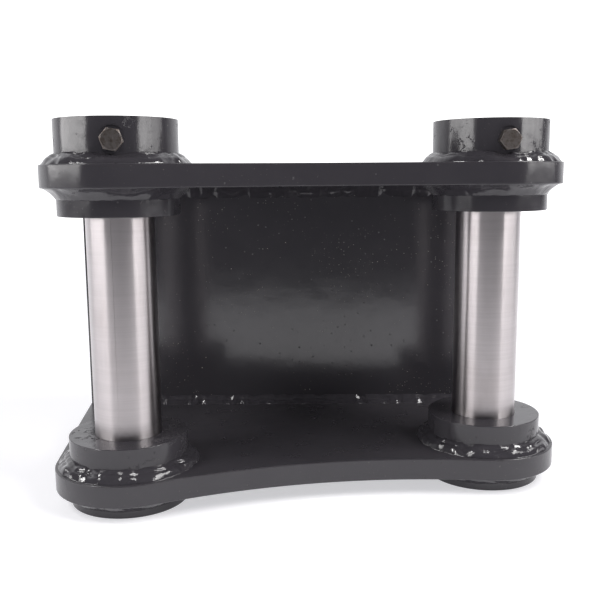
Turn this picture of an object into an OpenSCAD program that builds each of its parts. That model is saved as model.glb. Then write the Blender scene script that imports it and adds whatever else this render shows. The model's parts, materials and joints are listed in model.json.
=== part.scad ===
// Quick coupler for a 4 to 5 tonne excavator: a welded frame that hangs on the machine's arm pin
// and link pin, with two claws for the attachment's fixed shaft and two lock pins, driven apart
// by one spindle, for the attachment's eyes.
// +Z runs along the machine pins, +X from the link pin to the arm pin, +Y towards the attachment.
// The coupler stands on its two end bosses and its lower lock sleeve, on Z = 0.

/* [Machine pins] */
// Diameter of the arm pin and the link pin
pin_d = 45; // [40:1:50]
// Distance between the axes of the arm pin and the link pin
pin_spacing = 257; // [250:1:264]
// Free width between the collars, for the machine's arm and link
arm_gap = 148; // [130:1:156]

/* [Side plates] */
// Thickness of each side plate
plate_t = 15; // [12:1:18]
// Radius of the lobe round each machine pin
lobe_r = 50; // [49:1:54]
// Distance from the line of the pins to the middle of the hollow front edge
front_mid = 31; // [28:1:34]
// Radius of the two rear corners
corner_r = 20; // [14:1:24]

/* [Bosses and collars] */
// Outside diameter of the bosses and collars
boss_d = 80; // [74:1:84]
// Height of the two bosses that the retaining bolts cross
bolt_boss_h = 28.5; // [26:0.5:34]
// Height of the two collars inside the upper side plate
upper_collar_h = 18; // [16:0.5:22]
// Height of the two collars inside the lower side plate
lower_collar_h = 20.5; // [18:0.5:24]
// Height of the two bosses that the coupler stands on
end_boss_h = 11; // [9:0.5:14]
// Leg of the weld round each boss and collar, along the plate
ring_weld_r = 8.5; // [6:0.5:9]
// Leg of the weld round each collar, along the collar
ring_weld_h = 7.5; // [6:0.5:8.5]
// Leg of the weld round each bolt boss, along the boss, below the bolt's head and washer
bolt_weld_h = 6; // [5:0.5:6]

/* [Deck] */
// Thickness of the deck plate
deck_t = 12; // [10:1:15]
// Distance from the line of the pins to the middle of the deck's front face
deck_y = 119.6; // [116:0.2:124]
// Angle between the deck and the line of the pins
deck_skew = 9.66; // [8.5:0.01:10.5]
// Depth of the frame behind the deck's front face
rear_depth = 97; // [95:1:104]

/* [Attachment side] */
// Diameter of the attachment's fixed shaft
shaft_d = 45; // [40:1:46]
// Distance between the claws' seat and the lock pins
attach_spacing = 258; // [254:1:260]
// Depth of the seat and the lock pins behind the deck's front face
attach_v = 57; // [55:1:58]
// Diameter of the lock pins
lock_pin_d = 30; // [26:1:32]
// Outside diameter of the lock sleeves
sleeve_d = 55; // [50:1:56]
// How far each lock pin moves out
lock_travel = 25; // [10:1:26]

/* [Hidden] */

// Levels along Z, from the ground up
low_bottom = end_boss_h;
low_top = low_bottom + plate_t;
bay_bottom = low_top + lower_collar_h;
bay_top = bay_bottom + arm_gap;
up_bottom = bay_top + upper_collar_h;
up_top = up_bottom + plate_t;
top_z = up_top + bolt_boss_h;
bolt_z = up_top + bolt_boss_h / 2;
mid_z = (low_top + up_bottom) / 2;
inner_h = up_bottom - low_top;

// Clearances
run = 0.05; // radial gap of a shaft in its bore
gap = 0.3; // gap between pieces that move past each other
blend = 0.02; // lets the outline's arcs cross the lines and arcs that they meet
seat_gap = 0.2; // radial gap of the attachment's shaft in the claws

// Plan of the side plates, with the line of the pins on Y = 0
boss_r = boss_d / 2;
pin_x = pin_spacing / 2;
front_r = (pin_x ^ 2 + front_mid ^ 2 - lobe_r ^ 2) / (2 * (lobe_r - front_mid));
front_c = [0, -front_r - front_mid];
deck_left = -170; // left end of the deck
deck_right = 175; // right end of the deck
corner_v = rear_depth - corner_r;
left_corner = deck_point(-158, corner_v); // centre of the left rear corner
right_corner = deck_point(138, corner_v); // centre of the right rear corner
rear_y = left_corner[1] + corner_r;
mid_y = (rear_y - lobe_r) / 2; // middle of the whole depth, which lies on Y = 0

// Attachment side, along the deck (u) and behind its front face (v)
claw_u = 128;
lock_u = claw_u - attach_spacing;
shaft_r = shaft_d / 2 + seat_gap;
claw_straight = 26; // how far the claws' sides run straight from the seat
claw_flared = 46; // where the flare of the claws' mouth ends
claw_flare = 7; // how far each side of the mouth opens out
claw_cut = 80; // the cut runs past the plate's edge
lock_r = lock_pin_d / 2;
sleeve_in = 14; // how far a sleeve reaches inside its plate
lock_len = 74.5; // length of a lock pin
lock_recess = 0.5; // the lock pin's end lies this far inside the sleeve at rest
web_t = 12;
web_v = 86; // rear edge of the webs
claw_web_u = claw_u - shaft_r - 9 - web_t; // left face of the web beside the claws
lock_web_u = lock_u + sleeve_d / 2 + 10; // left face of the web beside the lock
web_leg = 6; // leg of the welds on the webs and behind the deck
web_weld_len = web_v - deck_t - web_leg - 2;

// Spindle
thread_r = 10;
hub_r = 18;
hub_h = 24;
spindle_half = inner_h / 2 - sleeve_in;
lock_bore = 40; // depth of the threaded bore in a lock pin
ear_t = 10;
ear_half = 20;
ear_v = attach_v + thread_r + 2 * gap;
keeper_t = 8;
screw_u = 15; // keeper screws, from the spindle's axis
guide_r = 3; // guide screw
key_r = 2; // guide screw's tip
key_bottom = 11.8; // bottom of the key groove, from the lock pin's axis
key_gap = 0.2; // gap on each side of the guide screw's tip, in the groove
key_depth = 0.4; // gap below the tip
fitting_z = 7; // guide screws and grease nipples, from the plate's inner face
bar_r = 6.2; // hole for the bar that turns the spindle

// Retaining bolts, M8 by 90
bolt_r = 4;
bolt_len = 90;
bolt_af = 13;
bolt_head_h = 5.3;
bolt_seat = boss_r - 0.6; // flat seat for the head and the washer
washer_t = 1.6;
nut_h = 6.5;
arm_bolt_turn = -5; // the arm pin's bolt, turned about the pin
link_bolt_turn = -1; // the link pin's bolt, turned about the pin

// A point given along the deck and behind its front face, in plan
function deck_point(u, v) = [
    u * cos(deck_skew) + v * sin(deck_skew),
    deck_y - u * sin(deck_skew) + v * cos(deck_skew)
];
function rim(c, r, a) = c + r * [cos(a), sin(a)];
// Direction of the outer tangent's normal for two circles, on the side given by 1 or -1
function tangent_angle(c1, r1, c2, r2, side) =
    atan2(c2[1] - c1[1], c2[0] - c1[0]) + side * acos((r1 - r2) / norm(c2 - c1));

module at_pins() {
    translate([0, -mid_y, 0]) children();
}

module at_arm() {
    translate([pin_x, -mid_y, 0]) children();
}

module at_link() {
    translate([-pin_x, -mid_y, 0]) children();
}

module on_deck() {
    translate([0, deck_y - mid_y, 0]) rotate([0, 0, -deck_skew]) children();
}

module at_lock() {
    on_deck() translate([lock_u, attach_v, 0]) children();
}

module tube(r_out, r_in, h) {
    difference() {
        cylinder(r = r_out, h = h, $fn = 96);
        translate([0, 0, -1]) cylinder(r = r_in, h = h + 2, $fn = 96);
    }
}

// Ring of weld metal against a plate at z = 0 and a tube of radius r
module weld_ring(r, leg_r, leg_z) {
    rotate_extrude($fn = 96)
        polygon([[r, 0], [r + leg_r, 0], [r + 0.35 * leg_r, 0.4 * leg_z], [r, leg_z]]);
}

// Straight weld along +X in the corner of a floor (z = 0) and a wall (y = 0), on the side y < 0
module weld_run(length, leg_y, leg_z) {
    rotate([90, 0, 90]) linear_extrude(length)
        polygon([[0, 0], [0, leg_z], [-0.4 * leg_y, 0.35 * leg_z], [-leg_y, 0]]);
}

// Hexagonal head with its corners turned off, from z = 0 up
module hex_head(af, h, turn) {
    intersection() {
        rotate([0, 0, turn]) cylinder(d = af / cos(30), h = h, $fn = 6);
        rotate_extrude($fn = 64)
            polygon([[0, -1], [af, -1], [af, h - 0.29 * af], [0.47 * af, h], [0, h]]);
    }
}

module hex_nut(af, h, r, turn) {
    difference() {
        hex_head(af, h, turn);
        translate([0, 0, -2]) cylinder(r = r, h = h + 4, $fn = 48);
    }
}

module round_pin(r, length, chamfer) {
    rotate_extrude($fn = 96)
        polygon([
            [0, 0], [r - chamfer, 0], [r, chamfer],
            [r, length - chamfer], [r - chamfer, length], [0, length]
        ]);
}

// Side plate before its holes are cut, from z = 0 up
module plate_blank() {
    link = [-pin_x, 0];
    arm = [pin_x, 0];
    left_a = tangent_angle(link, lobe_r, left_corner, corner_r, 1);
    right_a = tangent_angle(arm, lobe_r, right_corner, corner_r, -1);
    rear = [sin(deck_skew), cos(deck_skew)] * corner_r;
    front_a = atan2(front_c[1] - link[1], front_c[0] - link[0]);
    difference() {
        union() {
            linear_extrude(plate_t) polygon([
                rim(link, lobe_r, left_a), rim(left_corner, corner_r, left_a),
                left_corner + rear, right_corner + rear,
                rim(right_corner, corner_r, right_a), rim(arm, lobe_r, right_a),
                rim(arm, lobe_r, 180 - front_a), rim(link, lobe_r, front_a)
            ]);
            for (c = [link, arm])
                translate(c) cylinder(r = lobe_r + blend, h = plate_t, $fn = 128);
            for (c = [left_corner, right_corner])
                translate(c) cylinder(r = corner_r + blend, h = plate_t, $fn = 64);
        }
        translate([front_c[0], front_c[1], -1])
            cylinder(r = front_r + blend, h = plate_t + 2, $fn = 256);
    }
}

// Open seat for the attachment's shaft, with a flared mouth
module claw_notch() {
    mouth_r = shaft_r + claw_flare;
    translate([claw_u, attach_v, -1]) {
        cylinder(r = shaft_r, h = plate_t + 2, $fn = 96);
        linear_extrude(plate_t + 2) polygon([
            [0, -shaft_r], [claw_straight, -shaft_r], [claw_flared, -mouth_r],
            [claw_cut, -mouth_r], [claw_cut, mouth_r], [claw_flared, mouth_r],
            [claw_straight, shaft_r], [0, shaft_r]
        ]);
    }
}

module side_plate() {
    difference() {
        at_pins() plate_blank();
        both_pins() translate([0, 0, -1])
            cylinder(r = pin_d / 2 + run, h = plate_t + 2, $fn = 96);
        on_deck() claw_notch();
        at_lock() translate([0, 0, -1])
            cylinder(r = sleeve_d / 2, h = plate_t + 2, $fn = 96);
    }
}

module upper_side_plate() {
    color("#1d1d20") translate([0, 0, up_bottom]) side_plate();
}

module lower_side_plate() {
    color("#1d1d20") translate([0, 0, low_bottom]) side_plate();
}

module deck_plate() {
    color("#18181b") on_deck() translate([deck_left, 0, low_top])
        cube([deck_right - deck_left, deck_t, inner_h]);
}

// Fillet welds along the deck, in front of it and behind it
module deck_welds() {
    length = deck_right - deck_left - 4;
    color("#101012") on_deck() translate([deck_left + 2, 0, 0]) {
        translate([0, 0, low_top]) weld_run(length, 6, 5.5);
        translate([0, 0, up_bottom]) mirror([0, 0, 1]) weld_run(length, 9, 11);
        translate([0, deck_t, low_top]) rear_deck_weld();
        translate([0, deck_t, up_bottom]) mirror([0, 0, 1]) rear_deck_weld();
    }
}

// Weld behind the deck, from its left end to the lock web
module rear_deck_weld() {
    mirror([0, 1, 0]) weld_run(lock_web_u - deck_left - 2, web_leg, web_leg);
}

module boss(h, turn, crossed) {
    difference() {
        tube(boss_r, pin_d / 2 + run, h);
        if (crossed) rotate([0, 0, turn]) translate([0, 0, h / 2]) rotate([-90, 0, 0]) {
            translate([0, 0, -boss_r - 1]) cylinder(r = bolt_r + 0.4, h = boss_d + 2, $fn = 48);
            for (s = [0, 1]) mirror([0, 0, s])
                translate([0, 0, bolt_seat]) cylinder(r = 8.8, h = 4, $fn = 48);
        }
    }
}

module arm_bolt_boss() {
    color("#1a1a1d") at_arm() translate([0, 0, up_top]) boss(bolt_boss_h, arm_bolt_turn, true);
}

module link_bolt_boss() {
    color("#1a1a1d") at_link() translate([0, 0, up_top]) boss(bolt_boss_h, link_bolt_turn, true);
}

module arm_upper_collar() {
    color("#1a1a1d") at_arm() translate([0, 0, bay_top]) boss(upper_collar_h, 0, false);
}

module link_upper_collar() {
    color("#1a1a1d") at_link() translate([0, 0, bay_top]) boss(upper_collar_h, 0, false);
}

module arm_lower_collar() {
    color("#1a1a1d") at_arm() translate([0, 0, low_top]) boss(lower_collar_h, 0, false);
}

module link_lower_collar() {
    color("#1a1a1d") at_link() translate([0, 0, low_top]) boss(lower_collar_h, 0, false);
}

module arm_end_boss() {
    color("#1a1a1d") at_arm() boss(end_boss_h, 0, false);
}

module link_end_boss() {
    color("#1a1a1d") at_link() boss(end_boss_h, 0, false);
}

module both_pins() {
    at_arm() children();
    at_link() children();
}

module bolt_boss_welds() {
    color("#101012") both_pins() translate([0, 0, up_top])
        weld_ring(boss_r, ring_weld_r, bolt_weld_h);
}

module upper_collar_welds() {
    color("#101012") both_pins() translate([0, 0, up_bottom]) mirror([0, 0, 1])
        weld_ring(boss_r, ring_weld_r, ring_weld_h);
}

module lower_collar_welds() {
    color("#101012") both_pins() translate([0, 0, low_top])
        weld_ring(boss_r, ring_weld_r, ring_weld_h);
}

module end_boss_welds() {
    color("#101012") both_pins() translate([0, 0, low_bottom]) mirror([0, 0, 1])
        weld_ring(boss_r, ring_weld_r - 1, ring_weld_h - 1);
}

// Machine pin with a cross hole for its retaining bolt
module machine_pin(turn) {
    foot = 1; // the pin's ends lie inside the bosses
    head = 2;
    difference() {
        translate([0, 0, foot]) round_pin(pin_d / 2, top_z - foot - head, 2.5);
        rotate([0, 0, turn]) translate([0, 0, bolt_z]) rotate([-90, 0, 0])
            translate([0, 0, -pin_d]) cylinder(r = bolt_r + 0.3, h = 2 * pin_d, $fn = 48);
    }
}

module arm_pin() {
    color("#b9b6b4") at_arm() machine_pin(arm_bolt_turn);
}

module link_pin() {
    color("#b9b6b4") at_link() machine_pin(link_bolt_turn);
}

// Places what lies along a retaining bolt: local +Z is the bolt's direction, 0 is the pin's axis
module on_bolt(turn) {
    rotate([0, 0, turn]) translate([0, 0, bolt_z]) rotate([-90, 0, 0]) children();
}

module pin_bolt(hex_turn) {
    translate([0, 0, -bolt_seat]) {
        round_pin(bolt_r, bolt_len, 0.8);
        mirror([0, 0, 1]) hex_head(bolt_af, bolt_head_h, hex_turn);
    }
}

module arm_pin_bolt() {
    color("#6b6660") at_arm() on_bolt(arm_bolt_turn) pin_bolt(-8);
}

module link_pin_bolt() {
    color("#6b6660") at_link() on_bolt(link_bolt_turn) pin_bolt(-49);
}

module pin_washer() {
    translate([0, 0, bolt_seat]) tube(8, bolt_r + 0.2, washer_t);
}

module arm_pin_washer() {
    color("#8a8782") at_arm() on_bolt(arm_bolt_turn) pin_washer();
}

module link_pin_washer() {
    color("#8a8782") at_link() on_bolt(link_bolt_turn) pin_washer();
}

module pin_nut() {
    translate([0, 0, bolt_seat + washer_t]) hex_nut(bolt_af, nut_h, bolt_r + run, 20);
}

module arm_pin_nut() {
    color("#7d7973") at_arm() on_bolt(arm_bolt_turn) pin_nut();
}

module link_pin_nut() {
    color("#7d7973") at_link() on_bolt(link_bolt_turn) pin_nut();
}

module web(u) {
    on_deck() translate([u, deck_t, low_top]) cube([web_t, web_v - deck_t, inner_h]);
}

module claw_web() {
    color("#18181b") web(claw_web_u);
}

module lock_web() {
    color("#18181b") web(lock_web_u);
}

// Fillet welds on the inner side of each web, against the deck and against both side plates
module web_welds() {
    color("#101012") on_deck() {
        translate([claw_web_u, deck_t, 0]) one_web_welds();
        translate([lock_web_u + web_t, deck_t, 0]) mirror([1, 0, 0]) one_web_welds();
    }
}

module one_web_welds() {
    translate([0, web_leg, low_top]) rotate([0, 0, 90]) web_side_weld();
    translate([0, web_leg, up_bottom]) mirror([0, 0, 1]) rotate([0, 0, 90]) web_side_weld();
    translate([0, 0, low_top + web_leg]) linear_extrude(inner_h - 2 * web_leg)
        polygon([[0, 0], [-web_leg, 0], [-0.35 * web_leg, 0.35 * web_leg], [0, web_leg]]);
}

module web_side_weld() {
    mirror([0, 1, 0]) weld_run(web_weld_len, web_leg, web_leg);
}

// Sleeve that guides a lock pin, from z = 0, outside the plate, up into the frame
module lock_sleeve() {
    h = end_boss_h + plate_t + sleeve_in;
    z = low_top + fitting_z;
    difference() {
        tube(sleeve_d / 2, lock_r + run, h);
        translate([0, 0, z]) rotate([-90, 0, 0]) cylinder(r = guide_r, h = sleeve_d, $fn = 32);
        translate([0, 0, z]) rotate([0, 90, 0]) cylinder(r = guide_r, h = sleeve_d, $fn = 32);
    }
}

// Turns what is built for the lower end of the lock over to the upper end
module upper_end() {
    translate([0, 0, 2 * mid_z]) mirror([0, 0, 1]) children();
}

module lower_lock_sleeve() {
    color("#1a1a1d") at_lock() lock_sleeve();
}

module upper_lock_sleeve() {
    color("#1a1a1d") at_lock() upper_end() lock_sleeve();
}

module lock_sleeve_welds() {
    color("#101012") at_lock() {
        translate([0, 0, low_bottom]) mirror([0, 0, 1]) weld_ring(sleeve_d / 2, 6, 6);
        upper_end() translate([0, 0, low_bottom]) mirror([0, 0, 1]) weld_ring(sleeve_d / 2, 6, 6);
    }
}

// Lock pin with a chamfered nose, a threaded bore at its inner end and a key groove
module lock_pin() {
    key_z = low_top + fitting_z;
    difference() {
        translate([0, 0, lock_recess]) rotate_extrude($fn = 96)
            polygon([
                [0, 0], [lock_r - 4, 0], [lock_r, 6],
                [lock_r, lock_len - 1], [lock_r - 1, lock_len], [0, lock_len]
            ]);
        translate([0, 0, lock_recess + lock_len - lock_bore])
            cylinder(r = thread_r + run, h = lock_bore + 1, $fn = 64);
        translate([-key_r - key_gap, key_bottom, key_z - key_r - 1])
            cube([2 * (key_r + key_gap), lock_r, lock_travel + 2 * key_r + 2]);
    }
}

module lower_lock_pin() {
    color("#a8a5a2") at_lock() lock_pin();
}

module upper_lock_pin() {
    color("#a8a5a2") at_lock() upper_end() lock_pin();
}

// Double-ended screw with a hub that a bar turns
module lock_spindle() {
    color("#8f8b87") at_lock() translate([0, 0, mid_z]) difference() {
        union() {
            translate([0, 0, -spindle_half]) round_pin(thread_r, 2 * spindle_half, 1.5);
            translate([0, 0, -hub_h / 2]) round_pin(hub_r, hub_h, 1.5);
        }
        for (a = [45, 135]) rotate([0, 0, a]) rotate([90, 0, 0])
            translate([0, 0, -hub_r - 1]) cylinder(r = bar_r, h = 2 * hub_r + 2, $fn = 48);
    }
}

// Key screws in the sleeves, which stop the lock pins turning
module guide_screw() {
    difference() {
        union() {
            cylinder(r = key_r, h = 8, $fn = 32);
            translate([0, 0, lock_r + 0.5 - key_bottom - key_depth])
                cylinder(r = guide_r, h = sleeve_d / 2 - lock_r - 1, $fn = 32);
        }
        translate([0, 0, sleeve_d / 2 - key_bottom - 4]) cylinder(d = 3.4, h = 6, $fn = 6);
    }
}

module guide_screws() {
    color("#3a3a3c") at_lock() for (up = [0, 1])
        translate([0, 0, 2 * mid_z * up]) mirror([0, 0, up])
            translate([0, 0, low_top + fitting_z]) rotate([-90, 0, 0])
                translate([0, 0, key_bottom + key_depth]) guide_screw();
}

module grease_nipples() {
    color("#a08a50") at_lock() for (up = [0, 1])
        translate([0, 0, 2 * mid_z * up]) mirror([0, 0, up])
            translate([sleeve_d / 2, 0, low_top + fitting_z]) rotate([0, 90, 0]) {
                translate([0, 0, -6]) cylinder(r = guide_r - 0.05, h = 6.5, $fn = 32);
                cylinder(d = 7 / cos(30), h = 3, $fn = 6);
                rotate_extrude($fn = 48)
                    polygon([[0, 2], [2.6, 2], [2.6, 4], [1.9, 5.5], [3.2, 7], [2.2, 9], [0, 9]]);
            }
}

// Two slotted ears, one above the hub and one below it
module spindle_bracket() {
    color("#18181b") at_lock() for (s = [0, 1])
        translate([0, 0, mid_z]) mirror([0, 0, s]) translate([0, 0, hub_h / 2 + gap])
            linear_extrude(ear_t) difference() {
                translate([-ear_half, deck_t - attach_v]) square([2 * ear_half, ear_v - deck_t]);
                circle(r = thread_r + gap, $fn = 64);
                translate([-thread_r - gap, 0]) square([2 * thread_r + 2 * gap, ear_half]);
            }
}

module at_keeper_screws() {
    for (s = [0, 1], u = [-screw_u, screw_u])
        translate([0, 0, mid_z]) mirror([0, 0, s])
            translate([u, ear_v - attach_v, hub_h / 2 + gap + ear_t / 2])
                rotate([-90, 0, 0]) children();
}

// Strips that close the slots of the ears behind the spindle
module spindle_keepers() {
    color("#2c2c2e") at_lock() difference() {
        for (s = [0, 1])
            translate([0, 0, mid_z]) mirror([0, 0, s])
                translate([-ear_half, ear_v - attach_v, hub_h / 2 + gap])
                    cube([2 * ear_half, keeper_t, ear_t]);
        at_keeper_screws() translate([0, 0, -1]) cylinder(r = 3.05, h = keeper_t + 2, $fn = 32);
    }
}

module keeper_screws() {
    color("#8a8782") at_lock() at_keeper_screws() {
        translate([0, 0, 0.2]) cylinder(r = 3, h = keeper_t - 0.2, $fn = 32);
        translate([0, 0, keeper_t]) hex_head(8, 4, 10);
    }
}

upper_side_plate();
lower_side_plate();
deck_plate();
deck_welds();
arm_bolt_boss();
link_bolt_boss();
bolt_boss_welds();
arm_upper_collar();
link_upper_collar();
upper_collar_welds();
arm_lower_collar();
link_lower_collar();
lower_collar_welds();
arm_end_boss();
link_end_boss();
end_boss_welds();
arm_pin();
arm_pin_bolt();
arm_pin_washer();
arm_pin_nut();
link_pin();
link_pin_bolt();
link_pin_washer();
link_pin_nut();
claw_web();
lock_web();
web_welds();
upper_lock_sleeve();
lower_lock_sleeve();
lock_sleeve_welds();
upper_lock_pin();
lower_lock_pin();
lock_spindle();
guide_screws();
grease_nipples();
spindle_bracket();
spindle_keepers();
keeper_screws();
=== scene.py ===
import json
import math

import bpy
import numpy as np
from mathutils import Matrix, Vector


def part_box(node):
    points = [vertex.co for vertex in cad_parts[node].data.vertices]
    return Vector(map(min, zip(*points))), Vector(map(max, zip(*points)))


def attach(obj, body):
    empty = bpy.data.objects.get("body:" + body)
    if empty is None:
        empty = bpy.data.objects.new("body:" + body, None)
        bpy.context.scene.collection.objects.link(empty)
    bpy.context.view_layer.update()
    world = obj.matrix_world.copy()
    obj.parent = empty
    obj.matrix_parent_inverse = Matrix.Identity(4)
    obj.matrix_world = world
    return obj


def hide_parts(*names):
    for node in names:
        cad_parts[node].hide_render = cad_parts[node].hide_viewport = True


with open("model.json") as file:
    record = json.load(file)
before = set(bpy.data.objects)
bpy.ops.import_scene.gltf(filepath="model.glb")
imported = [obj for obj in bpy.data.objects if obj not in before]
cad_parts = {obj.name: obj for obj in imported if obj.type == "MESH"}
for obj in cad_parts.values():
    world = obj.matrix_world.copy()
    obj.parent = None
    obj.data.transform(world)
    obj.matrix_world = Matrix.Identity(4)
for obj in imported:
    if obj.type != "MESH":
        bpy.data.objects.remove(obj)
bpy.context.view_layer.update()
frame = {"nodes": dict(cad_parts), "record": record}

# Looks of the quick coupler. Lengths are in metres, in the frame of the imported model.
MM = 0.001
NODES = frame["nodes"]
SLOT_OF = {s["node"]: s["material_slot"] for s in frame["record"]["subparts"]}
BODY_OF = {n: b for b, nodes in frame["record"]["behaviour"]["bodies"].items() for n in nodes}


# ---------------------------------------------------------------- places, read from the frame

def middle(node):
    low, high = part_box(node)
    return (low + high) / 2


def radius(node):
    low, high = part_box(node)
    return (high.x - low.x) / 2


ARM = middle("arm_pin")
LINK = middle("link_pin")
LOCK = middle("lower_lock_pin")
BOSS_R = radius("arm_bolt_boss")
SLEEVE_R = radius("lower_lock_sleeve")
LOW_BOTTOM, LOW_TOP = (corner.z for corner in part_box("lower_side_plate"))
UP_BOTTOM, UP_TOP = (corner.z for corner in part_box("upper_side_plate"))
DECK_POINTS = [v.co.copy() for v in NODES["deck_plate"].data.vertices]
DECK_LEFT = min(DECK_POINTS, key=lambda p: p.x)  # left end of the deck's front face
DECK_RIGHT = min(DECK_POINTS, key=lambda p: p.y)  # right end of the deck's front face
UP = Vector((0, 0, 1))
ALONG = Vector((DECK_RIGHT.x - DECK_LEFT.x, DECK_RIGHT.y - DECK_LEFT.y, 0)).normalized()
BACK = Vector((-ALONG.y, ALONG.x, 0))
DECK_LENGTH = (DECK_RIGHT - DECK_LEFT).dot(ALONG)
DECK_T = max((p - DECK_LEFT).dot(BACK) for p in DECK_POINTS)


def deck_place(u, v, z):
    """A point u along the deck from its left end and v behind its front face."""
    p = DECK_LEFT + ALONG * u + BACK * v
    return Vector((p.x, p.y, z))


def deck_span(node):
    """Lowest and highest u and v of a node, in the deck's own directions."""
    points = [v.co - DECK_LEFT for v in NODES[node].data.vertices]
    us = [p.dot(ALONG) for p in points]
    vs = [p.dot(BACK) for p in points]
    return min(us), max(us), min(vs), max(vs)


# ---------------------------------------------------------------- camera, floor and light

def new_object(name, data):
    """An object of the given data, in the scene."""
    made = bpy.data.objects.new(name, data)
    bpy.context.scene.collection.objects.link(made)
    return made


EYE = Vector((-0.0970, -0.63565, 0.21871))  # fitted to the edges of the pins, bosses and collars
YAW, PITCH, ROLL = (math.radians(a) for a in (-9.345, -8.836, 0.469))
LENS = 47.62  # mm
SENSOR = 36  # mm


def make_camera():
    data = bpy.data.cameras.new("camera")
    data.lens = LENS
    data.sensor_width = SENSOR
    data.clip_start = 0.01
    data.clip_end = 50
    cam = new_object("camera", data)
    turn = Matrix.Rotation(YAW, 4, "Z") @ Matrix.Rotation(PITCH, 4, "X") @ Matrix.Rotation(ROLL, 4, "Y")
    cam.matrix_world = Matrix.Translation(EYE) @ turn @ Matrix.Rotation(math.radians(90), 4, "X")
    bpy.context.scene.camera = cam


FLOOR_FRONT = -0.72  # the white table ends here, under the camera
FLOOR_REACH = 3.0  # to both sides and to the back
FLOOR_GREY = (0.62, 0.62, 0.63, 1)
FLOOR_TINT = (0.97, 0.97, 1.0, 1)
NEAR_GLOW = 0.54
FAR_GLOW = 1.1  # as white as the background, so that no horizon shows
GLOW_STARTS = 0.9  # distances from the coupler between which the glow grows
GLOW_ENDS = 2.4


def make_floor():
    """A pale floor that glows more and more away from the coupler."""
    corners = [(-FLOOR_REACH, FLOOR_FRONT), (FLOOR_REACH, FLOOR_FRONT),
               (FLOOR_REACH, FLOOR_REACH), (-FLOOR_REACH, FLOOR_REACH)]
    mesh = bpy.data.meshes.new("floor")
    mesh.from_pydata([(x, y, 0) for x, y in corners], [], [(0, 1, 2, 3)])
    floor = new_object("floor", mesh)
    material = bpy.data.materials.new("floor_white")
    material.use_nodes = True
    tree = material.node_tree
    shader = tree.nodes["Principled BSDF"]
    shader.inputs["Base Color"].default_value = FLOOR_GREY
    shader.inputs["Roughness"].default_value = 0.9
    shader.inputs["Specular IOR Level"].default_value = 0.1
    shader.inputs["Emission Color"].default_value = FLOOR_TINT
    place = tree.nodes.new("ShaderNodeTexCoord")
    distance = tree.nodes.new("ShaderNodeVectorMath")
    distance.operation = "LENGTH"
    glow = tree.nodes.new("ShaderNodeMapRange")
    glow.inputs["From Min"].default_value = GLOW_STARTS
    glow.inputs["From Max"].default_value = GLOW_ENDS
    glow.inputs["To Min"].default_value = NEAR_GLOW
    glow.inputs["To Max"].default_value = FAR_GLOW
    tree.links.new(place.outputs["Object"], distance.inputs[0])
    tree.links.new(distance.outputs["Value"], glow.inputs["Value"])
    tree.links.new(glow.outputs[0], shader.inputs["Emission Strength"])
    mesh.materials.append(material)


LAMP_TINT = (1.0, 0.985, 0.98)


def area_light(name, width, height, glow):
    """A rectangular light whose surface has the brightness glow."""
    light = bpy.data.lights.new(name, "AREA")
    light.shape = "RECTANGLE"
    light.size = width
    light.size_y = height
    light.energy = glow * math.pi * width * height
    light.color = LAMP_TINT
    return new_object(name, light)


def soft_box(name, start, end, low, high, glow):
    """An upright soft box over the plan line from start to end, facing the coupler."""
    start, end = Vector((*start, 0)), Vector((*end, 0))
    centre = (start + end) / 2
    right = (end - start).normalized()
    if right.cross(UP).dot(centre) < 0:
        right = -right
    turn = Matrix((right, UP, right.cross(UP))).transposed().to_4x4()
    centre.z = (low + high) / 2
    lamp = area_light(name, (end - start).length, high - low, glow)
    lamp.matrix_world = Matrix.Translation(centre) @ turn


WALL_PANELS = 4


def soft_wall(name, start, end, low, high, first_glow, last_glow):
    """A row of soft boxes from start to end, whose glow changes from first_glow to last_glow."""
    start, end = Vector(start), Vector(end)
    for k in range(WALL_PANELS):
        share = k / (WALL_PANELS - 1)
        glow = first_glow + (last_glow - first_glow) * share
        edges = (start.lerp(end, j / WALL_PANELS) for j in (k, k + 1))
        soft_box(f"{name}_{k + 1}", *edges, low, high, glow)


LAMP_SIZE = 0.28
LAMP_GLOW = 26.0
LAMP_Y = -0.22
LAMP_Z = 1.30
LAMP_AIM = Vector((0, 0, 0.1))


def lamp_over(name, x):
    """A square lamp above and beside the coupler, aimed at it."""
    lamp = area_light(name, LAMP_SIZE, LAMP_SIZE, LAMP_GLOW)
    place = Vector((x, LAMP_Y, LAMP_Z))
    lamp.rotation_euler = (LAMP_AIM - place).to_track_quat("-Z", "Y").to_euler()
    lamp.location = place


SEEN_WHITE = 1.6  # strength of the white that the camera sees
DIM = (0.10, 0.10, 0.11, 1)
BRIGHT = (1.1, 1.1, 1.13, 1)
DIM_UP_TO = 0.62  # shares of the way from the front, 0, to the back, 1
BRIGHT_FROM = 0.80


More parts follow.
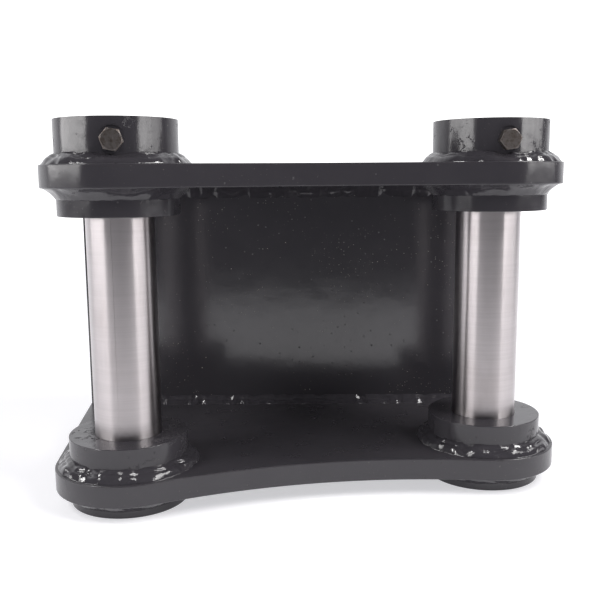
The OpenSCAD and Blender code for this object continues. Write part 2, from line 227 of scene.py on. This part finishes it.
def make_world():
    """White to the camera; in reflections bright behind the coupler and dim behind the camera."""
    world = bpy.data.worlds.new("studio")
    bpy.context.scene.world = world
    world.use_nodes = True
    tree = world.node_tree
    tree.nodes.clear()
    output = tree.nodes.new("ShaderNodeOutputWorld")
    seen = tree.nodes.new("ShaderNodeBackground")
    seen.inputs["Color"].default_value = (1, 1, 1, 1)
    seen.inputs["Strength"].default_value = SEEN_WHITE
    around = tree.nodes.new("ShaderNodeBackground")
    ramp = tree.nodes.new("ShaderNodeValToRGB")
    dim, bright = ramp.color_ramp.elements
    dim.position = DIM_UP_TO
    dim.color = DIM
    bright.position = BRIGHT_FROM
    bright.color = BRIGHT
    direction = tree.nodes.new("ShaderNodeTexCoord")
    split = tree.nodes.new("ShaderNodeSeparateXYZ")
    share = tree.nodes.new("ShaderNodeMath")  # turns -1..1 into 0..1
    share.operation = "MULTIPLY_ADD"
    share.inputs[1].default_value = 0.5
    share.inputs[2].default_value = 0.5
    path = tree.nodes.new("ShaderNodeLightPath")
    mix = tree.nodes.new("ShaderNodeMixShader")
    link = tree.links.new
    link(direction.outputs["Generated"], split.inputs[0])
    link(split.outputs["Y"], share.inputs[0])
    link(share.outputs[0], ramp.inputs["Fac"])
    link(ramp.outputs["Color"], around.inputs["Color"])
    link(path.outputs["Is Camera Ray"], mix.inputs["Fac"])
    link(around.outputs[0], mix.inputs[1])
    link(seen.outputs[0], mix.inputs[2])
    link(mix.outputs[0], output.inputs["Surface"])


WALLS_LEFT = (-1.73, -1.36)  # where the soft walls start, behind the camera on both sides
WALLS_RIGHT = (0.98, -1.28)


def make_studio():
    scene = bpy.context.scene
    scene.view_settings.view_transform = "Standard"
    scene.view_settings.look = "None"
    make_world()
    make_floor()
    # the gap between low and high rows keeps the level upper plate from mirroring them in side views
    soft_wall("soft_left_low", WALLS_LEFT, (-2.0, 0.62), low=0.25, high=0.48, first_glow=8.8, last_glow=6.2)
    soft_wall("soft_left_high", WALLS_LEFT, (-1.85, -0.45), low=1.3, high=2.3, first_glow=9.0, last_glow=5.0)
    soft_wall("soft_right_low", WALLS_RIGHT, (1.75, 0.02), low=0.25, high=0.46, first_glow=8.2, last_glow=3.2)
    soft_wall("soft_right_high", WALLS_RIGHT, (1.55, -0.35), low=1.1, high=2.1, first_glow=14, last_glow=6)
    lamp_over("lamp_left", -1.05)
    lamp_over("lamp_right", 0.95)


# ---------------------------------------------------------------- materials

class Surface:
    """A material's node tree, with short calls for the nodes used here."""

    def __init__(self, name, **sockets):
        self.material = bpy.data.materials.new(name)
        self.material.use_nodes = True
        self.tree = self.material.node_tree
        self.shader = self.tree.nodes["Principled BSDF"]
        for socket, value in sockets.items():
            self.shader.inputs[socket.replace("_", " ")].default_value = value
        self.place = self.node("ShaderNodeTexCoord").outputs["Object"]

    def node(self, kind, **values):
        made = self.tree.nodes.new(kind)
        for key, value in values.items():
            setattr(made, key, value)
        return made

    def link(self, out, into):
        self.tree.links.new(out, into)

    def set(self, socket, value):
        """Links an output to a socket of the shader."""
        self.link(value, self.shader.inputs[socket])

    def feed(self, socket, value):
        """Links an output to a socket, or sets the socket to a number or a colour."""
        if hasattr(value, "is_output"):
            self.link(value, socket)
        else:
            socket.default_value = value

    def scaled(self, scale):
        """The object's own coordinates, scaled along each axis."""
        mapping = self.node("ShaderNodeMapping")
        self.link(self.place, mapping.inputs["Vector"])
        mapping.inputs["Scale"].default_value = scale
        return mapping.outputs[0]

    def noise(self, size, detail=2.0, rough=0.5, stretch=(1, 1, 1)):
        """Smooth noise whose lumps are about size across."""
        made = self.node("ShaderNodeTexNoise")
        self.link(self.scaled([s / size for s in stretch]), made.inputs["Vector"])
        made.inputs["Scale"].default_value = 1.0
        made.inputs["Detail"].default_value = detail
        made.inputs["Roughness"].default_value = rough
        return made.outputs["Fac"]

    def specks(self, size, reach):
        """1 in small round specks, in under half of the cells of the given size, 0 elsewhere.
        A speck's radius is the share reach of a cell."""
        made = self.node("ShaderNodeTexVoronoi")
        self.link(self.scaled([1 / size] * 3), made.inputs["Vector"])
        made.inputs["Scale"].default_value = 1.0
        picked = self.node("ShaderNodeSeparateColor")
        self.link(made.outputs["Color"], picked.inputs[0])
        chance = self.ramp(picked.outputs[0], 0.55, 0.95)
        spot = self.ramp(made.outputs["Distance"], reach, reach * 0.6)
        return self.times(chance, spot)

    def ramp(self, value, low, high, bottom=0.0, top=1.0):
        """Maps low..high to bottom..top, smoothly and clamped."""
        made = self.node("ShaderNodeMapRange", interpolation_type="SMOOTHSTEP")
        self.feed(made.inputs["Value"], value)
        for socket, number in (("From Min", low), ("From Max", high), ("To Min", bottom), ("To Max", top)):
            made.inputs[socket].default_value = number
        return made.outputs[0]

    def math(self, operation, a, b=0.0):
        made = self.node("ShaderNodeMath", operation=operation)
        self.feed(made.inputs[0], a)
        self.feed(made.inputs[1], b)
        return made.outputs[0]

    def times(self, a, b):
        return self.math("MULTIPLY", a, b)

    def mix(self, amount, a, b):
        """Blends colour a to colour b."""
        made = self.node("ShaderNodeMix", data_type="RGBA")
        self.feed(made.inputs["Factor"], amount)
        self.feed(made.inputs["A"], a)
        self.feed(made.inputs["B"], b)
        return made.outputs["Result"]

    def axes(self, vector):
        """The X, Y and Z of a vector."""
        split = self.node("ShaderNodeSeparateXYZ")
        self.link(vector, split.inputs[0])
        return [split.outputs[axis] for axis in "XYZ"]

    def levelness(self):
        """1 where the surface faces up or down, 0 where it is upright."""
        normal = self.node("ShaderNodeNewGeometry").outputs["Normal"]
        return self.math("ABSOLUTE", self.axes(normal)[2])

    def rings(self, pitch):
        """Rings round the Z axis, 0..1..0 once in each pitch."""
        return self.math("PINGPONG", self.times(self.axes(self.place)[2], 2 / pitch), 1.0)

    def bump(self, height, distance, below=None):
        """The normal of a height of 0..1 that stands distance proud, on top of the bump below."""
        made = self.node("ShaderNodeBump")
        made.inputs["Strength"].default_value = 1.0
        made.inputs["Distance"].default_value = distance
        self.feed(made.inputs["Height"], height)
        if below is not None:
            self.link(below, made.inputs["Normal"])
        return made.outputs[0]


BLACK = (0.038, 0.0355, 0.041, 1)
WORN = (0.070, 0.067, 0.073, 1)
DUST = (0.42, 0.39, 0.34, 1)
PIN_DARK = (0.455, 0.425, 0.43, 1)
PIN_LIGHT = (0.495, 0.465, 0.47, 1)
PIN_STAIN = (0.34, 0.30, 0.295, 1)
FORGED = (0.150, 0.136, 0.130, 1)
RUST = (0.098, 0.080, 0.070, 1)
TURNED_DARK = (0.36, 0.35, 0.34, 1)
TURNED_LIGHT = (0.47, 0.46, 0.45, 1)
GREASE = (0.16, 0.13, 0.09, 1)
THREAD_STEEL = (0.44, 0.43, 0.42, 1)
THREAD_DARK = (0.13, 0.11, 0.08, 1)


def black_paint(name, rough, peel, dust, edge_haze=0.0, top_haze=0.0, mirror=0.5, cracked=False):
    """Gloss black enamel: orange peel, thin haze, pinholes, dust and hairline cracks.
    edge_haze and top_haze roughen the upright and the level faces."""
    s = Surface(name, Specular_IOR_Level=mirror)
    haze = s.ramp(s.noise(30 * MM, detail=3, rough=0.55), 0.40, 0.80)
    film = s.mix(s.times(haze, 0.12), BLACK, WORN)
    coarse_drift = s.ramp(s.noise(45 * MM, detail=3, rough=0.6), 0.42, 0.66)
    coarse = s.times(s.specks(3.8 * MM, reach=0.115), coarse_drift)
    fine_drift = s.ramp(s.noise(60 * MM, detail=4, rough=0.6), 0.44, 0.62)
    fine = s.times(s.specks(2.0 * MM, reach=0.18), fine_drift)
    dots = s.times(s.math("MAXIMUM", coarse, s.times(fine, 0.6)), dust)
    s.set("Base Color", s.mix(dots, film, DUST))
    gloss = s.ramp(s.noise(9 * MM, detail=3, rough=0.6), 0.25, 0.75, rough * 0.95, rough * 1.08)
    if edge_haze or top_haze:
        patches = s.ramp(s.noise(16 * MM, detail=3), 0.3, 0.7, 0.7, 1.0)
        added = s.ramp(s.levelness(), 0.25, 0.6, edge_haze, top_haze)
        gloss = s.math("ADD", gloss, s.times(added, patches))
    pits = s.specks(5.5 * MM, reach=0.14)
    flaws = s.math("MAXIMUM", dots, pits)
    if cracked:
        # cracks run where the noise crosses its middle level, in a few places
        off_level = s.math("ABSOLUTE", s.math("SUBTRACT", s.noise(12 * MM, detail=3, rough=0.6), 0.5))
        crack = s.ramp(off_level, 0.020, 0.008)
        crack_places = s.ramp(s.noise(34 * MM), 0.56, 0.62)
        flaws = s.math("MAXIMUM", flaws, s.times(crack, crack_places))
    s.set("Roughness", s.math("MAXIMUM", gloss, s.times(flaws, 0.7)))
    peel_bump = s.bump(s.noise(2.6 * MM, rough=0.4), peel * 0.05 * MM)
    wave_bump = s.bump(s.noise(16 * MM, rough=0.4), peel * 0.60 * MM, below=peel_bump)
    s.set("Normal", s.bump(flaws, -0.15 * MM, below=wave_bump))
    return s.material


def weld_paint(name):
    """Thick gloss enamel over weld metal, with runs and small pits."""
    s = Surface(name)
    haze = s.ramp(s.noise(7 * MM, detail=4, rough=0.6), 0.5, 0.8)
    s.set("Base Color", s.mix(s.times(haze, 0.25), BLACK, WORN))
    s.set("Roughness", s.ramp(s.noise(5 * MM, detail=3, rough=0.6), 0.3, 0.75, 0.05, 0.13))
    fine = s.bump(s.noise(1.3 * MM, detail=3, rough=0.55), 0.05 * MM)
    s.set("Normal", s.bump(s.noise(5.5 * MM, rough=0.4), 0.40 * MM, below=fine))
    return s.material


def ground_steel(name):
    """Ground pin steel: fine lines round the pin, faint bands and cloudy stains."""
    s = Surface(name, Metallic=1.0, Roughness=0.29, Anisotropic=0.85, Anisotropic_Rotation=0.25)
    s.set("Tangent", s.node("ShaderNodeTangent", direction_type="RADIAL", axis="Z").outputs[0])
    lines = s.noise(0.35 * MM, rough=0.6, stretch=(0.01, 0.01, 1))
    bands = s.noise(3 * MM, detail=3, rough=0.6, stretch=(0.03, 0.03, 1))
    tone = s.mix(s.ramp(s.math("ADD", lines, bands), 0.7, 1.3), PIN_DARK, PIN_LIGHT)
    stain = s.ramp(s.noise(24 * MM, detail=3, stretch=(1, 1, 0.5)), 0.50, 0.80)
    s.set("Base Color", s.mix(s.times(stain, 0.4), tone, PIN_STAIN))
    return s.material


def bolt_steel(name):
    """Dull forged steel with brown stains."""
    s = Surface(name, Metallic=1.0)
    stain = s.ramp(s.noise(2.4 * MM, detail=4, rough=0.7), 0.42, 0.68)
    s.set("Base Color", s.mix(stain, FORGED, RUST))
    s.set("Roughness", s.ramp(s.noise(1.3 * MM, detail=3, rough=0.6), 0.3, 0.75, 0.42, 0.62))
    s.set("Normal", s.bump(s.noise(0.7 * MM, detail=3, rough=0.6), 0.05 * MM))
    return s.material


def plated(name, bright, dull, rough):
    """Plated steel: cloudy colour and small scuffs."""
    s = Surface(name, Metallic=1.0)
    cloud = s.ramp(s.noise(3 * MM, detail=4, rough=0.65), 0.35, 0.7)
    s.set("Base Color", s.mix(cloud, (*bright, 1), (*dull, 1)))
    scuffs = s.noise(1.5 * MM, detail=3, rough=0.6)
    s.set("Roughness", s.ramp(scuffs, 0.3, 0.7, rough * 0.75, rough * 1.4))
    s.set("Normal", s.bump(s.noise(0.5 * MM, rough=0.6), 0.02 * MM))
    return s.material


def lock_steel(name):
    """Turned steel with a film of grease."""
    s = Surface(name, Metallic=1.0, Coat_Weight=0.35, Coat_Roughness=0.12)
    lines = s.noise(0.4 * MM, rough=0.6, stretch=(0.05, 0.05, 1))
    grease = s.ramp(s.noise(8 * MM, detail=4, rough=0.6), 0.45, 0.7)
    tone = s.mix(s.ramp(lines, 0.3, 0.7), TURNED_DARK, TURNED_LIGHT)
    s.set("Base Color", s.mix(s.times(grease, 0.6), tone, GREASE))
    s.set("Roughness", s.ramp(grease, 0, 1, 0.28, 0.45))
    s.set("Normal", s.bump(lines, 0.012 * MM))
    return s.material


THREAD_PITCH = 2.5 * MM
THREAD_H = 0.9 * MM
THREAD_R = 10 * MM  # the spindle's threaded rods; its hub is wider


def thread_steel(name):
    """Turned steel whose threaded rods carry rings, with patches of grease, and whose colour is darker in the
    roots between the rings.
    """
    s = Surface(name, Metallic=1.0)
    across = [s.math("SUBTRACT", here, centre) for here, centre in zip(s.axes(s.place), LOCK.xy)]
    off_axis = s.math("SQRT", s.math("ADD", *(s.times(a, a) for a in across)))
    on_rod = s.ramp(off_axis, THREAD_R + 1.5 * MM, THREAD_R + 0.5 * MM)
    ridge = s.times(s.rings(THREAD_PITCH), on_rod)
    # the colour is made darker in the roots between the rings, as well as in the patches of grease
    root = s.math("SUBTRACT", on_rod, ridge)
    grease = s.ramp(s.noise(6 * MM, detail=3, rough=0.6), 0.45, 0.7)
    grease_and_dark_roots = s.math("MAXIMUM", s.times(grease, 0.5), s.times(root, 0.8))
    s.set("Base Color", s.mix(grease_and_dark_roots, THREAD_STEEL, THREAD_DARK))
    s.set("Roughness", s.ramp(grease_and_dark_roots, 0, 1, 0.28, 0.5))
    s.set("Normal", s.bump(ridge, THREAD_H))
    return s.material


def make_materials():
    return {
        "black_paint": black_paint("black_paint", rough=0.17, peel=0.6, dust=0.22, cracked=True),
        "plate_paint": black_paint("plate_paint", rough=0.15, peel=0.4, dust=0.22, edge_haze=0.04,
                                   top_haze=0.17),
        "deck_paint": black_paint("deck_paint", rough=0.16, peel=0.22, dust=1.0, mirror=0.78),
        "painted_weld": weld_paint("painted_weld"),
        "ground_steel": ground_steel("ground_steel"),
        "bolt_steel": bolt_steel("bolt_steel"),
        "lock_steel": lock_steel("lock_steel"),
        "thread_steel": thread_steel("thread_steel"),
        "zinc_plate": plated("zinc_plate", (0.62, 0.62, 0.60), (0.42, 0.42, 0.41), rough=0.32),
        "black_oxide": plated("black_oxide", (0.06, 0.06, 0.065), (0.035, 0.035, 0.04), rough=0.38),
        "yellow_zinc": plated("yellow_zinc", (0.62, 0.50, 0.24), (0.46, 0.36, 0.22), rough=0.3),
    }


# ---------------------------------------------------------------- rounded CAD pieces

# widths of the rounded edges, in mm
EDGE = {"upper_side_plate": 0.8, "lower_side_plate": 0.8, "deck_plate": 0.6,
        "arm_bolt_boss": 0.9, "link_bolt_boss": 0.9, "arm_pin_bolt": 0.35, "link_pin_bolt": 0.35,
        "arm_pin_nut": 0.3, "link_pin_nut": 0.3, "arm_pin_washer": 0.2, "link_pin_washer": 0.2,
        "guide_screws": 0.15, "grease_nipples": 0.15, "keeper_screws": 0.25}
USUAL_EDGE = 0.5
ROUNDED_FROM = math.radians(28)  # edges that turn less than this stay as they are
MERGE = 0.002 * MM
# materials that differ from the one named by the node's slot
FINISH_OF = {"upper_side_plate": "plate_paint", "lower_side_plate": "plate_paint",
             "deck_plate": "deck_paint", "lock_spindle": "thread_steel"}


def dress(node, materials):
    """Rounds a CAD node's edges with modifiers and gives it its material."""
    piece = NODES[node]
    merge = piece.modifiers.new("merge", "WELD")
    merge.merge_threshold = MERGE
    bevel = piece.modifiers.new("round", "BEVEL")
    bevel.width = EDGE.get(node, USUAL_EDGE) * MM
    bevel.segments = 3
    bevel.limit_method = "ANGLE"
    bevel.angle_limit = ROUNDED_FROM
    bevel.harden_normals = False
    smooth = piece.modifiers.new("shade", "WEIGHTED_NORMAL")
    smooth.keep_sharp = False
    piece.data.materials.clear()
    piece.data.materials.append(materials[FINISH_OF.get(node, SLOT_OF[node])])


# ---------------------------------------------------------------- weld beads

BEAD_STEPS = 16  # points across a bead's face
SINK = 0.5 * MM  # how far a bead's hidden side runs into the steel
SLANT = 0.6  # how much the waves slant across the bead
COARSE_WAVE = 50 * MM  # lengths of the waves that shape a bead
LUMP_WAVE = 20 * MM
FINE_WAVE = 10 * MM
GROOVE_AT = 0.60  # the groove between two passes, in shares of the way across the face
GROOVE_WIDTH = 0.11
BOW = 0.7  # how far ripples bow forward in the middle of the bead, in ripples


def wobble(turn, rng, low, high, share=0.0):
    """Smooth noise round a closed ring: turn is 0..1, and low..high are the waves in one turn.
    Where share, 0..1 across the bead, is given, the waves slant at random across it."""
    total = 0.0
    for waves in range(low, high + 1):
        slant = rng.normal() * SLANT * share
        height = (low / waves) ** 0.5 * rng.normal()
        total = total + height * np.cos(2 * np.pi * (waves * turn + rng.random() + slant))
    return total / math.sqrt(sum(low / waves for waves in range(low, high + 1)))


def bead_section(share, leg_out, leg_up, bulge):
    """Points across a bead's face, from the toe on the plate (share 0) to the toe on the wall (1)."""
    out = leg_out * (1 - share)
    up = leg_up * share
    swell = bulge * np.sin(np.pi * share)
    size = np.sqrt(leg_out ** 2 + leg_up ** 2)
    return out + swell * leg_up / size, up + swell * leg_out / size


class BeadLook:
    """A bead's legs and its face's shape. Lengths are given in mm; ragged is a share of the legs."""

    def __init__(self, leg_out, leg_up, bulge, ripple=0.08, lump=0.25, ragged=0.25, pitch=3.0, crease=0.0):
        self.leg_out = leg_out * MM
        self.leg_up = leg_up * MM
        self.bulge = bulge * MM
        self.ripple = ripple * MM
        self.lump = lump * MM
        self.ragged = ragged
        self.pitch = pitch * MM
        self.crease = crease * MM

    def face(self, turn, length, rng):
        """Arrays (turn, share) of out and up for a bead of the given length."""
        share = np.linspace(0, 1, BEAD_STEPS)[None, :]
        t = turn[:, None]
        coarse = max(3, round(length / COARSE_WAVE))
        fine = max(12, round(length / FINE_WAVE))
        out_leg = self.leg_out * (1 + self.ragged * wobble(t, rng, coarse, fine) * 0.5)
        up_leg = self.leg_up * (1 + self.ragged * wobble(t, rng, coarse, fine) * 0.5)
        swell = self.bulge * (1 + 0.4 * wobble(t, rng, coarse, coarse * 3))
        groove_share = share + 0.10 * wobble(t, rng, coarse, coarse * 3)
        groove_depth = self.crease * (1 + 0.5 * wobble(t, rng, coarse, coarse * 3))
        groove = groove_depth * np.exp(-((groove_share - GROOVE_AT) / GROOVE_WIDTH) ** 2)
        out_leg = np.minimum(out_leg, self.leg_out)
        up_leg = np.minimum(up_leg, self.leg_up)
        out, up = bead_section(share, out_leg, up_leg, swell)
        crown = np.sin(np.pi * share)
        ripples = round(length / self.pitch)
        phase = ripples * t + 0.8 * wobble(t, rng, 2, coarse * 2) + BOW * crown
        rise = self.ripple * (np.abs(np.sin(np.pi * phase)) - 0.6) * crown ** 0.6
        long_waves = max(coarse + 2, round(length / LUMP_WAVE))
        lumps = self.lump * wobble(t, rng, coarse, long_waves, share) * crown - groove
        size = np.sqrt(self.leg_out ** 2 + self.leg_up ** 2)
        out = out + (rise + lumps) * self.leg_up / size
        up = up + (rise + lumps) * self.leg_out / size
        return np.maximum(out, -SINK), np.maximum(up, -SINK)


def closed_section(out, up):
    """Adds the hidden side of a bead, sunk a little into plate and wall."""
    sunk = np.full((len(out), 1), -SINK)
    out = np.hstack([out, sunk, sunk, out[:, :1]])
    up = np.hstack([up, up[:, -1:], sunk, sunk])
    return out, up


RING_STEP = 0.55 * MM
RUN_STEP = 0.6 * MM
TAPER = 4 * MM  # length over which a run grows from its ends
END_SIZE = 0.35  # size of a run's ends, as a share of the bead


class Beads:
    """One mesh that collects weld beads."""

    def __init__(self):
        self.points = []
        self.faces = []

    def add(self, grid, closed):
        """grid is (steps, section, 3). A closed bead meets itself, an open one gets end caps."""
        steps, section, _ = grid.shape
        first = len(self.points)
        self.points.extend(grid.reshape(-1, 3).tolist())
        for i in range(steps if closed else steps - 1):
            for j in range(section):
                a, b = i, (i + 1) % steps
                c, d = j, (j + 1) % section
                self.faces.append([first + a * section + c, first + b * section + c,
                                   first + b * section + d, first + a * section + d])
        if not closed:
            self.faces.append([first + j for j in range(section)][::-1])
            self.faces.append([first + (steps - 1) * section + j for j in range(section)])

    def ring(self, axis, wall_r, z, up, look, seed, dip=0.0):
        """A bead round a tube of radius wall_r, on a plate at z, on the side up (1 or -1).
        The bead is lower by the share dip under a bolt that crosses the tube along Y."""
        length = 2 * math.pi * (wall_r + look.leg_out / 2)
        steps = int(length / RING_STEP)
        turn = np.arange(steps) / steps
        out, rise = look.face(turn, length, np.random.default_rng(seed))
        angle = 2 * math.pi * turn[:, None]
        under_bolt = np.exp(-((np.abs(np.sin(angle)) - 1) / 0.05) ** 2)
        out, rise = closed_section(out, rise * (1 - dip * under_bolt))
        r = wall_r + out
        grid = np.stack([axis.x + r * np.cos(angle), axis.y + r * np.sin(angle), z + up * rise], axis=-1)
        self.add(grid[::up], True)

    def run(self, start, end, out_dir, up_dir, look, seed):
        """A straight bead from start to end."""
        length = (end - start).length
        steps = max(8, int(length / RUN_STEP))
        turn = np.linspace(0, 1, steps)
        out, rise = look.face(turn, length, np.random.default_rng(seed))
        taper = np.minimum(1, np.minimum(turn, 1 - turn) * length / TAPER)[:, None] ** 0.5
        size = END_SIZE + (1 - END_SIZE) * taper
        out, rise = closed_section(out * size, rise * size)
        line = np.array(start)[None, None] + turn[:, None, None] * np.array(end - start)[None, None]
        grid = line + out[..., None] * np.array(out_dir) + rise[..., None] * np.array(up_dir)
        flip = (end - start).cross(out_dir).dot(up_dir) > 0
        self.add(grid[::-1] if flip else grid, False)

    def build(self, name, body, node, material):
        """The beads as one piece that rides on a body and stands for the CAD's weld node."""
        mesh = bpy.data.meshes.new(name)
        mesh.from_pydata(self.points, [], self.faces)
        mesh.polygons.foreach_set("use_smooth", [True] * len(mesh.polygons))
        mesh.materials.append(material)
        piece = new_object(name, mesh)
        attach(piece, body)
        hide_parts(node)


BOLT_BOSS_BEAD = BeadLook(8.5, 7.4, bulge=0.9, ripple=0.02, lump=0.32, ragged=0.22, crease=0.35)
UPPER_COLLAR_BEAD = BeadLook(8.5, 7.5, bulge=-0.8, ripple=0.0, lump=0.10, ragged=0.08)
LOWER_COLLAR_BEAD = BeadLook(8.5, 7.5, bulge=1.3, ripple=0.03, lump=0.35, ragged=0.2, crease=0.7)
END_BOSS_BEAD = BeadLook(7.5, 6.5, bulge=0.2, ripple=0.05, lump=0.2, ragged=0.2, pitch=3.4)
DECK_LOW_BEAD = BeadLook(7, 6.5, bulge=-0.3, ripple=0.02, lump=0.10, ragged=0.4, pitch=2.6, crease=0.4)
DECK_HIGH_BEAD = BeadLook(9, 11, bulge=-0.4, ripple=0.02, lump=0.15, ragged=0.4, pitch=2.6, crease=0.4)
SLEEVE_BEAD = BeadLook(6, 6, bulge=0.6, lump=0.3)
PLAIN_LEG = 6  # mm
PLAIN_BEAD = BeadLook(PLAIN_LEG, PLAIN_LEG, bulge=0.5, pitch=2.6)
BOLT_DIP = 0.2
END_GAP = 2 * MM  # between a run's end and the end of its plate


def ring_pair(node, z, up, look, seed, dip=0.0):
    """The same bead round both pins' bosses or collars."""
    beads = Beads()
    for k, axis in enumerate((ARM, LINK)):
        beads.ring(axis, BOSS_R, z, up, look, seed + k, dip)
    return node, beads


def deck_beads():
    beads = Beads()
    for z, up, look, seed in ((LOW_TOP, UP, DECK_LOW_BEAD, 31), (UP_BOTTOM, -UP, DECK_HIGH_BEAD, 32)):
        left, right = (deck_place(u, 0, z) for u in (END_GAP, DECK_LENGTH - END_GAP))
        beads.run(left, right, -BACK, up, look, seed)
    rear_end = deck_span("lock_web")[0]
    for z, up, seed in ((LOW_TOP, UP, 33), (UP_BOTTOM, -UP, 34)):
        left, right = (deck_place(u, DECK_T, z) for u in (END_GAP, rear_end))
        beads.run(left, right, BACK, up, PLAIN_BEAD, seed)
    return "deck_welds", beads


def web_beads():
    beads = Beads()
    leg = PLAIN_LEG * MM
    seed = 41
    for node, side in (("claw_web", -1), ("lock_web", 1)):
        u_low, u_high, v_low, v_high = deck_span(node)
        u = u_low if side < 0 else u_high
        out = ALONG * side
        for z, up in ((LOW_TOP, UP), (UP_BOTTOM, -UP)):
            front, rear = (deck_place(u, v, z) for v in (v_low + leg, v_high - END_GAP))
            beads.run(front, rear, out, up, PLAIN_BEAD, seed)
            seed += 1
        bottom, top = (deck_place(u, v_low, z) for z in (LOW_TOP + leg, UP_BOTTOM - leg))
        beads.run(bottom, top, out, BACK, PLAIN_BEAD, seed)
        seed += 1
    return "web_welds", beads


def sleeve_beads():
    beads = Beads()
    beads.ring(LOCK, SLEEVE_R, LOW_BOTTOM, -1, SLEEVE_BEAD, seed=51)
    beads.ring(LOCK, SLEEVE_R, UP_TOP, 1, SLEEVE_BEAD, seed=52)
    return "lock_sleeve_welds", beads


def make_welds(material):
    made = [
        ring_pair("bolt_boss_welds", UP_TOP, 1, BOLT_BOSS_BEAD, seed=11, dip=BOLT_DIP),
        ring_pair("upper_collar_welds", UP_BOTTOM, -1, UPPER_COLLAR_BEAD, seed=13),
        ring_pair("lower_collar_welds", LOW_TOP, 1, LOWER_COLLAR_BEAD, seed=15),
        ring_pair("end_boss_welds", LOW_BOTTOM, -1, END_BOSS_BEAD, seed=17),
        deck_beads(),
        web_beads(),
        sleeve_beads(),
    ]
    for node, beads in made:
        beads.build(node + "_beads", BODY_OF[node], node, material)


# ---------------------------------------------------------------- the whole scene

make_camera()
make_studio()
MATERIALS = make_materials()
for cad_node in NODES:
    if SLOT_OF[cad_node] != "painted_weld":
        dress(cad_node, MATERIALS)
make_welds(MATERIALS["painted_weld"])
